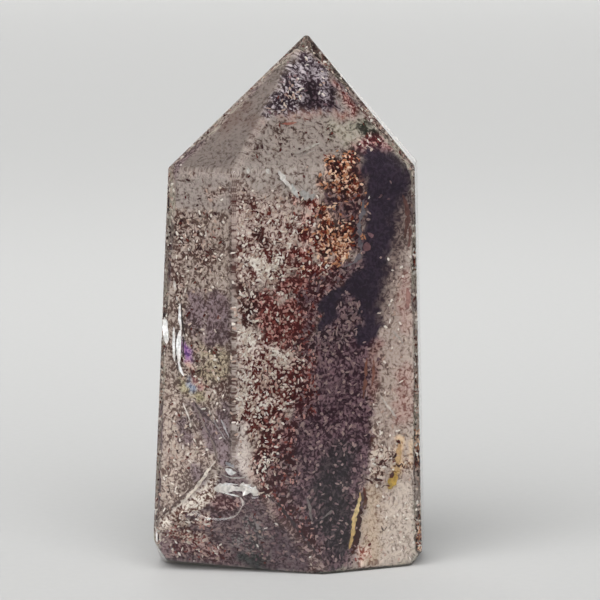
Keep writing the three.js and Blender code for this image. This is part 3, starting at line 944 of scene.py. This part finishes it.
def grow(kind, tree, codes, per_square_metre, size, seed):
    """Two pieces, front and back: the growths of a kind over the bed, as plain meshes."""
    given = {
        "Per Square Metre": per_square_metre,
        "Size": size,
        "Rise": GROWTH_RISE,
        "Clusters Per Metre": GROWTH_CLUSTERS,
        "Cluster Level": GROWTH_CLUSTER_LEVEL,
        "Seed": seed,
    }
    for socket_name, code in zip(TONE_NAMES, codes):
        material, wire, output = new_material(kind + "_" + socket_name.split()[0].lower(), tone(code))
        add_surface(wire, output, {
            "Base Color": with_alpha(tone(code)),
            "Roughness": 0.7,
            "Specular IOR Level": 0.0,
        })
        given[socket_name] = material
    for part in ("front", "back"):
        given["Share"] = kind + "_" + part
        piece = add_object(given["Share"], bed_mesh)
        modifier = piece.modifiers.new("growth", "NODES")
        modifier.node_group = tree
        for socket in tree.interface.items_tree:
            if socket.in_out == "INPUT" and socket.name in given:
                modifier[socket.identifier] = given[socket.name]
        finished = piece.evaluated_get(bpy.context.evaluated_depsgraph_get())
        made = bpy.data.meshes.new_from_object(finished)
        piece.modifiers.remove(modifier)
        piece.data = made
        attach(piece, "root")


curl_tree = growth_tree("curls", curl, CURL_STRETCH)
grain_tree = growth_tree("grains", grain_of, GRAIN_STRETCH)
grow("cream_curls", curl_tree, ("#f2ece4", "#d8c9bc", "#bfa598"), 8.6e6, 0.15 * MM, 3)
grow("rust_curls", curl_tree, ("#f8d8bc", "#c98c66", "#7a2c18"), 1.0e7, 0.16 * MM, 13)
grow("brick_curls", curl_tree, ("#cf9f95", "#8c4640", "#5a1a16"), 9.0e6, 0.15 * MM, 43)
grow("murk_curls", curl_tree, ("#94787a", "#6f545b", "#ad938f"), 7.0e6, 0.17 * MM, 23)
grow("dark_grains", grain_tree, ("#4a1614", "#64281f", "#341216"), 9.0e6, 0.14 * MM, 33)


# The healed cracks, flakes and veins: thin films and threads just behind the faces. The cracks hold air
# and fluid. Their shine, white or in colours, is painted into their colour: painted highlight for the
# glints of light off the cracks and off the chips in the surface. The dark lines beside some cracks are
# painted shade. The veins are iron oxide, the threads are clay, and the maroon bits are dark red clay.
BLADE_STEP = 0.2
BLADE_WANDER = 0.14
BLADE_WANDER_SIZE = 0.6
BLADE_RAG_SIZE = 0.45
BLADE_LEAST_SHARE = 0.25
BLADE_HALF_THICKNESS = 0.03
LEAST_HALF_WIDTH = 0.01
CLOUDS_PER_METRE = 2500.0
CLOUD_CONTRAST = 3.0
CLOUD_LEVEL = 0.7
CLOUD_SHADE = 0.55


def smooth_path(points):
    """Points close together on a smooth curve through the given ones, in millimetres."""
    ends = [points[0], *points, points[-1]]
    path = []
    for corners in zip(ends, ends[1:], ends[2:], ends[3:]):
        steps = max(1, round(math.dist(corners[1], corners[2]) / BLADE_STEP))
        for t in (step / steps for step in range(steps)):
            path.append([
                b + 0.5 * t * (c - a) + t * t * (a - 2.5 * b + 2 * c - 0.5 * d)
                + 0.5 * t ** 3 * (3 * b - a - 3 * c + d)
                for a, b, c, d in zip(*corners)
            ])
    return [*path, points[-1]]


def tone_along(codes, share):
    """The colour at a share of the way through a list of colours."""
    place = share * (len(codes) - 1)
    number = min(int(place), len(codes) - 2)
    start, stop = np.array(tone(codes[number])), np.array(tone(codes[number + 1]))
    return with_alpha(start + (stop - start) * (place - number))


def blade(shape, points, width, depth, raggedness, codes, looking):
    """Adds a closed film that tapers at both ends, behind the face met when looking this way."""
    layer = shape.verts.layers.float_color["tone"]
    path = []
    for x, z in smooth_path(points):
        spot = Vector((x, z, 9 * depth)) / BLADE_WANDER_SIZE
        wander = BLADE_WANDER * raggedness * noise.noise_vector(spot)
        start = Vector((x + wander.x, 0, z + wander.y)) * MM - looking
        hit, normal, _, _ = quartz_surface.ray_cast(start, looking)
        path.append((hit - normal * depth * MM, normal))
    rings = []
    for number, (place, normal) in enumerate(path):
        along = path[min(number + 1, len(path) - 1)][0] - path[max(number - 1, 0)][0]
        share = number / (len(path) - 1)
        swell = math.sqrt(abs(math.sin(math.pi * share)))
        rag = max(BLADE_LEAST_SHARE, 1 + raggedness * mm_noise(place, BLADE_RAG_SIZE, width))
        half = 0.5 * width * swell * rag
        side = normal.cross(along).normalized() * half * MM
        rise = normal * BLADE_HALF_THICKNESS * swell * MM
        corners = [place + side, place + rise, place - side, place - rise]
        ring = [shape.verts.new(corner) for corner in (corners if half > LEAST_HALF_WIDTH else [place])]
        for vertex in ring:
            vertex[layer] = tone_along(codes, share)
        rings.append(ring)
    for ring, after in zip(rings, rings[1:]):
        for i, j in ((0, 1), (1, 2), (2, 3), (3, 0)):
            near = [ring[i % len(ring)], ring[j % len(ring)]]
            far = [after[j % len(after)], after[i % len(after)]]
            shape.faces.new(list(dict.fromkeys(near + far)))


def blades(name, roughness, specular, front_rows, back_rows):
    """One piece: a group of films. Each row holds the points, the width, the depth and the colours."""
    shape = bmesh.new()
    shape.verts.layers.float_color.new("tone")
    for looking, rows in ((Vector((0, 1, 0)), front_rows), (Vector((0, -1, 0)), back_rows)):
        for points, width, depth, raggedness, codes in rows:
            blade(shape, points, width, depth, raggedness, codes, looking)
    bmesh.ops.recalc_face_normals(shape, faces=shape.faces)
    mesh = bpy.data.meshes.new(name)
    shape.to_mesh(mesh)
    shape.free()
    material, wire, output = new_material(name, tone(front_rows[0][4][0]))
    clouds = wire.grains(wire.place(), CLOUDS_PER_METRE, 2.0)
    cleared = ((clouds - 0.5) * CLOUD_CONTRAST + CLOUD_LEVEL).clamped()
    colour = wire.attribute("tone")
    shaded = wire.node("ShaderNodeVectorMath", {"operation": "SCALE"}, {0: colour, "Scale": CLOUD_SHADE})
    add_surface(wire, output, {
        "Base Color": cleared.mix(shaded, colour),
        "Roughness": roughness,
        "Specular IOR Level": specular,
    })
    mesh.materials.append(material)
    piece = add_object(name, mesh)
    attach(piece, "root")


# Painted highlights: the white and pale greys below stand for glints of light off the cracks and chips.
GLINT_WHITE = ("#f2f0ec", "#ffffff", "#ece8e2")
DULL_GLINT_GREY = ("#b5ada5", "#d9d5cf", "#b0a8a0")
CRACK_GLINT_FILMS = [
    ([(-13.4, 33.3), (-13.45, 31.5), (-13.25, 30)], 0.4, 0.2, 0.3, GLINT_WHITE),
    ([(-13.35, 30.1), (-13.6, 28.2), (-13.5, 26.2)], 0.75, 0.2, 0.3, GLINT_WHITE),
    ([(-14.15, 30.4), (-14.2, 28.2), (-14.1, 26.2)], 0.4, 0.2, 0.3, GLINT_WHITE),
    ([(-13.6, 26.4), (-13.4, 25.4), (-12.9, 24.5)], 0.4, 0.2, 0.2, GLINT_WHITE),
    ([(-15.25, 31.4), (-15.2, 29.8), (-15.05, 28.2)], 0.9, 0.15, 0.5, GLINT_WHITE),
    ([(-14.1, 36), (-14, 34.8)], 0.4, 0.25, 0.3, DULL_GLINT_GREY),
    ([(-13.9, 34.3), (-13.7, 33.4)], 0.15, 0.25, 0.3, DULL_GLINT_GREY),
    ([(-13.1, 21.3), (-12.6, 20.1), (-12.1, 18.9)], 0.2, 0.25, 0.5, ("#efe9e2", "#e6ddd4", "#b5aaa2")),
    ([(-8.5, 19.8), (-8, 18.9), (-7.5, 17.6)], 0.25, 0.3, 0.9, ("#a39ca0", "#b5afb2", "#958d90")),
    ([(-9.4, 19.9), (-8.8, 18.6), (-8, 17.4)], 0.2, 0.3, 0.9, ("#958b8b", "#a39a9a")),
    ([(-7.9, 14.5), (-7.3, 14.2), (-6.8, 13.9)], 0.5, 0.3, 0.9, ("#959298", "#a8a8b0", "#b0a8a8")),
    ([(3.6, 52.5), (2.1, 51.9), (0.4, 51.3)], 0.3, 0.3, 0.9, ("#c9c2ba", "#b0a8a0", "#a09690")),
    ([(2.9, 51.6), (1.4, 51.2)], 0.2, 0.3, 0.9, ("#b5ada5", "#a09690")),
    ([(-5.1, 50), (-5, 49.1)], 0.35, 0.3, 0.9, DULL_GLINT_GREY),
    ([(-3, 49.6), (-2.4, 49.3)], 0.4, 0.3, 0.9, DULL_GLINT_GREY),
    ([(-1.4, 49.3), (-0.8, 48.4), (-0.1, 47.4)], 0.6, 0.3, 0.9, ("#c9c5c0", "#efece8", "#c9c4bf")),
    ([(-0.6, 48.2), (0.1, 47.2), (0.6, 46.2)], 0.4, 0.35, 0.9, DULL_GLINT_GREY),
    ([(0.2, 47.8), (0.5, 46.9), (1, 46)], 0.4, 0.3, 0.9, ("#bdc0bd", "#d9d9d5", "#b5b1ac")),
    ([(1.2, 46.8), (2.1, 46.2), (3, 45.9)], 1.0, 0.45, 1.2, ("#a8a5a1", "#bdbab6", "#a39e9a")),
    ([(10.9, 21.5), (12, 20), (13, 18.5)], 0.25, 0.3, 0.9, ("#bdb3ac", "#dcd3cb", "#bdb3ac")),
    ([(12.5, 29.3), (13.8, 27.7)], 0.25, 0.3, 0.9, ("#c9beb6", "#bdb3ac")),
    ([(-7.9, 13.7), (-7.3, 13.3), (-6.5, 13.3)], 0.8, 0.12, 0.8, GLINT_WHITE),
    ([(-7.9, 14), (-7.2, 14.1), (-6.6, 13.7)], 0.15, 0.12, 0.5, DULL_GLINT_GREY),
    ([(-8.4, 13), (-7.4, 12.6), (-6.2, 12.6), (-5.2, 12.9)], 0.2, 0.12, 0.5, DULL_GLINT_GREY),
    ([(-9.2, 10.8), (-7.6, 11.2), (-6.1, 11)], 1.4, 0.12, 1.0, ("#d9d2cb", "#f2eeea", "#e3ded9")),
    ([(-8.6, 11.3), (-7.6, 11.7), (-6.3, 11.7)], 0.25, 0.1, 0.5, GLINT_WHITE),
    ([(-8, 10.5), (-7.1, 10.3), (-6.2, 10.1)], 0.25, 0.1, 0.5, GLINT_WHITE),
    ([(-6.2, 11.6), (-5.3, 11.1), (-3.9, 10.9)], 1.4, 0.12, 1.0, ("#d9d2cb", "#efebe6", "#d9d2cb")),
    ([(-6, 11.8), (-5.2, 11.6), (-4.2, 11.1)], 0.25, 0.1, 0.5, GLINT_WHITE),
    ([(-6.2, 10.1), (-5.8, 9.5), (-5.9, 8.8)], 0.35, 0.12, 0.7, ("#e3d9d3", "#d9cec8")),
    ([(-5.9, 9), (-6.4, 8), (-7.3, 7.4), (-8.5, 7.1)], 0.2, 0.12, 0.5,
     ("#d9cec8", "#b5a8a2", "#8d7f7b")),
    ([(-13.8, 8.5), (-12.4, 10), (-11, 11.7), (-9.8, 13.6), (-9.1, 14.8)], 0.35, 0.15, 0.7,
     ("#b5aaa0", "#e6dccf", "#d9cdbf", "#efe6da", "#cfc3b8")),
    ([(-12.7, 3.9), (-12.3, 3.4)], 0.5, 0.3, 0.9, ("#efe4d6", "#d6c5b5")),
    ([(-10.8, 4.2), (-10.4, 3.9)], 0.6, 0.3, 0.9, ("#f5ebdf", "#e3d5c5")),
]
CRACK_GLINT_BACK = [
    ([(-9, 43), (-8.6, 41.2), (-8.7, 39.6)], 0.5, 0.3, 1.0, GLINT_WHITE),
    ([(-1.6, 20.4), (0.2, 19.4), (1.8, 19.2)], 0.7, 0.4, 1.0, DULL_GLINT_GREY),
    ([(8.9, 28.6), (9.7, 27), (9.9, 25.4)], 0.6, 0.5, 1.0, DULL_GLINT_GREY),
    ([(4, 47), (5.5, 46.2)], 0.5, 0.4, 1.0, DULL_GLINT_GREY),
]
IRON_VEINS = [
    ([(8.5, 9.9), (8.3, 8.3), (7.8, 6.6), (7.6, 4.9), (7.1, 2.8)], 0.55, 0.35, 0.8,
     ("#b5935c", "#e6cf9c", "#dcbf88", "#c9a870", "#b89a68")),
    ([(8.5, 8.6), (8.4, 7), (8.2, 5.4), (7.9, 3.8), (7.7, 2.2)], 0.95, 0.5, 1.2,
     ("#4a1a10", "#360a07", "#300806", "#36100b", "#4a1a12")),
    ([(9, 10.4), (9.2, 9), (9.1, 7.6)], 0.5, 0.5, 1.0, ("#6b3120", "#4a1d14", "#6b4a34")),
    ([(13.3, 15.5), (13.3, 13.9), (12.9, 11.9)], 0.65, 0.4, 1.4, ("#c09a72", "#d0b084", "#c4a270")),
    ([(12.9, 11.7), (12.6, 10.9), (12.1, 10)], 1.0, 0.4, 1.4, ("#ac883c", "#c4a24c", "#ac9248")),
    ([(9.3, 26.3), (9.1, 23.8), (8.9, 21.2)], 0.4, 0.4, 1.0, ("#7c4f42", "#8a5c4f", "#6b443a")),
    ([(10.2, 26), (10.1, 24.3), (9.9, 22.6)], 0.3, 0.4, 1.0, ("#8a5a4c", "#96695c")),
    ([(-1.1, 54.8), (0.8, 54.9)], 0.25, 0.3, 1.0, ("#9c5a4c", "#b0796b")),
    ([(9.4, 41.4), (10.1, 40.8)], 0.6, 0.5, 1.0, ("#7a545c", "#8f6c72")),
    ([(8.8, 39.9), (9.7, 39.4)], 0.9, 0.5, 1.0, ("#6b4a4f", "#845e62")),
    ([(13.6, 45.9), (14.3, 43.5), (13.9, 40.5)], 0.6, 0.4, 1.0, ("#5c3c3a", "#6b4a44", "#5c423d")),
    ([(14.6, 42), (14.4, 39.4)], 0.4, 0.4, 1.0, ("#6b4a44", "#7c5a52")),
    ([(14.2, 34.6), (14.4, 33.2), (14.1, 31.8)], 0.6, 0.4, 1.0, ("#a0746c", "#b08880", "#96706a")),
]
IRON_BACK = [
    ([(-11, 35), (-10.2, 32.8), (-9.5, 31)], 0.9, 0.5, 1.0, ("#8a3c20", "#a8603a", "#6b2418")),
    ([(-9.2, 29), (-8.8, 26), (-7.6, 23)], 0.7, 0.5, 1.0, ("#6b2418", "#96502c", "#7c3c20")),
    ([(2, 38), (3.1, 35.6), (3.4, 33)], 0.6, 0.5, 1.0, ("#8f6038", "#7c4026", "#a07a4c")),
    ([(12, 18), (11.3, 15.6), (11, 13.4)], 0.6, 0.6, 1.0, ("#6b3020", "#8c4c2c", "#5c2418")),
]
CLAY_THREADS = [
    ([(9, 45.8), (8.7, 44.2), (8.4, 42.3), (8.3, 40.8), (8.6, 39.3), (7.9, 38.1), (6.6, 37.4)],
     0.45, 0.35, 1.8,
     ("#5c565c", "#7f7a80", "#665f66", "#736c73", "#8a8286")),
    ([(8.9, 44.9), (8.8, 43.6)], 0.5, 0.4, 1.8, ("#5c585f", "#7c787f")),
    ([(2, 9.8), (2.4, 8.6), (2.4, 7.6), (2.7, 6.8)], 0.35, 0.35, 1.0,
     ("#7c7071", "#8f827f", "#7c7071")),
    ([(3.6, 6.9), (4.4, 7.3), (5.1, 7.9)], 0.3, 0.35, 1.0, ("#776a6a", "#857876")),
    ([(-11.6, 21.3), (-10.6, 18.9), (-9.6, 17.2), (-8.9, 14.6)], 0.35, 0.4, 1.0,
     ("#857570", "#94847e", "#7c6c67")),
]
CLAY_BACK = [
    ([(-4, 48), (-2.9, 46), (-2.6, 44)], 0.6, 0.4, 1.0, ("#a59d95", "#bdb3aa", "#958b85")),
    ([(-12, 16), (-10.4, 14.2), (-9.2, 12.8)], 0.8, 0.5, 1.0, ("#8f8b72", "#7c7c66", "#9c9880")),
]
MAROON_BITS = ("#4a1c16", "#36100e", "#5c2a20")
# Painted shade: dark films beside the cracks. The rows in MAROON_BITS are dark red clay instead.
SHADE_LINES_AND_MAROON_BITS = [
    ([(-13.2, 33.4), (-13.25, 31.6), (-13, 29.7), (-13.1, 26.6)], 0.2, 0.3, 1.0,
     ("#4a4040", "#3a3234", "#5c4f4e")),
    ([(-13.9, 30.2), (-13.85, 28), (-13.9, 26.2), (-13.6, 24.3)], 0.2, 0.3, 1.0,
     ("#5c4f4e", "#3f3536", "#4f4443")),
    ([(-11.8, 21.5), (-11, 20.6), (-9.9, 19.6), (-8.9, 18.9)], 0.3, 0.4, 1.0,
     ("#57474a", "#5c4c4e", "#6b5a5a")),
    ([(-10.7, 19.2), (-9.8, 17.6), (-9.1, 16.6)], 0.4, 0.4, 1.0, ("#6b5a5a", "#5a4b50", "#6b5a5a")),
    ([(-16.4, 6.6), (-14, 9), (-11.4, 11.9), (-10.2, 13.6)], 0.25, 0.3, 1.0,
     ("#5c4a46", "#6b5852", "#57453f")),
    ([(-3.1, 10.8), (-1.1, 8.8), (1, 5.8), (3.2, 2.8), (4.9, 0.9)], 0.3, 0.4, 1.0,
     ("#4a383b", "#3f2e33", "#4a393a")),
    ([(-1.8, 9.6), (-0.4, 7.9)], 0.4, 0.4, 1.0, ("#3a2a2e", "#332428")),
    ([(12.9, 14.3), (12.6, 13.8), (12.3, 13.6)], 0.4, 0.25, 1.2, MAROON_BITS),
    ([(12.6, 12), (12.4, 11.6), (12.1, 11.3)], 0.4, 0.25, 1.2, MAROON_BITS),
    ([(10.4, 13.4), (10.9, 13), (11.3, 13.5), (11.6, 12.9), (12, 12.8)], 0.25, 0.3, 1.6, MAROON_BITS),
    ([(12.9, 13), (13.3, 12.7), (13.6, 12.9), (13.8, 12.4), (14.2, 12.9)], 0.22, 0.3, 1.6, MAROON_BITS),
    ([(9, 11.5), (9.6, 11.1), (10, 10.6)], 0.25, 0.3, 1.6, MAROON_BITS),
    ([(10.2, 11.4), (10.7, 11.2), (11.3, 11.1)], 0.25, 0.3, 1.6, MAROON_BITS),
    ([(11, 10.1), (11.6, 10.3), (12.2, 10.2)], 0.2, 0.3, 1.8, MAROON_BITS),
    ([(12.8, 15.7), (13.3, 15.6), (13.6, 15.2)], 0.35, 0.3, 1.5, MAROON_BITS),
    ([(10.9, 5.5), (11.4, 4.9), (11.9, 5.3)], 0.2, 0.3, 1.8, ("#6b5a55", "#7c6c66")),
]
# Painted shade: dark lines behind the back faces.
SHADOW_BACK = [
    ([(-8.4, 43), (-8.1, 41.2), (-8.3, 39.4)], 0.3, 0.4, 1.0, ("#3a3234", "#4a4040")),
    ([(5, 26), (5.9, 24.2), (6, 22.6)], 0.4, 0.5, 1.0, ("#2b1d22", "#3f2f30")),
]
# The crack films carry painted highlight, and the dark lines carry painted shade.
blades("crack_films_painted_glint", 0.25, 0.5, CRACK_GLINT_FILMS, CRACK_GLINT_BACK)
blades("iron_veins", 0.7, 0.0, IRON_VEINS, IRON_BACK)
blades("clay_threads", 0.7, 0.0, CLAY_THREADS, CLAY_BACK)
blades("shade_lines_and_maroon_bits", 0.7, 0.0, SHADE_LINES_AND_MAROON_BITS, SHADOW_BACK)
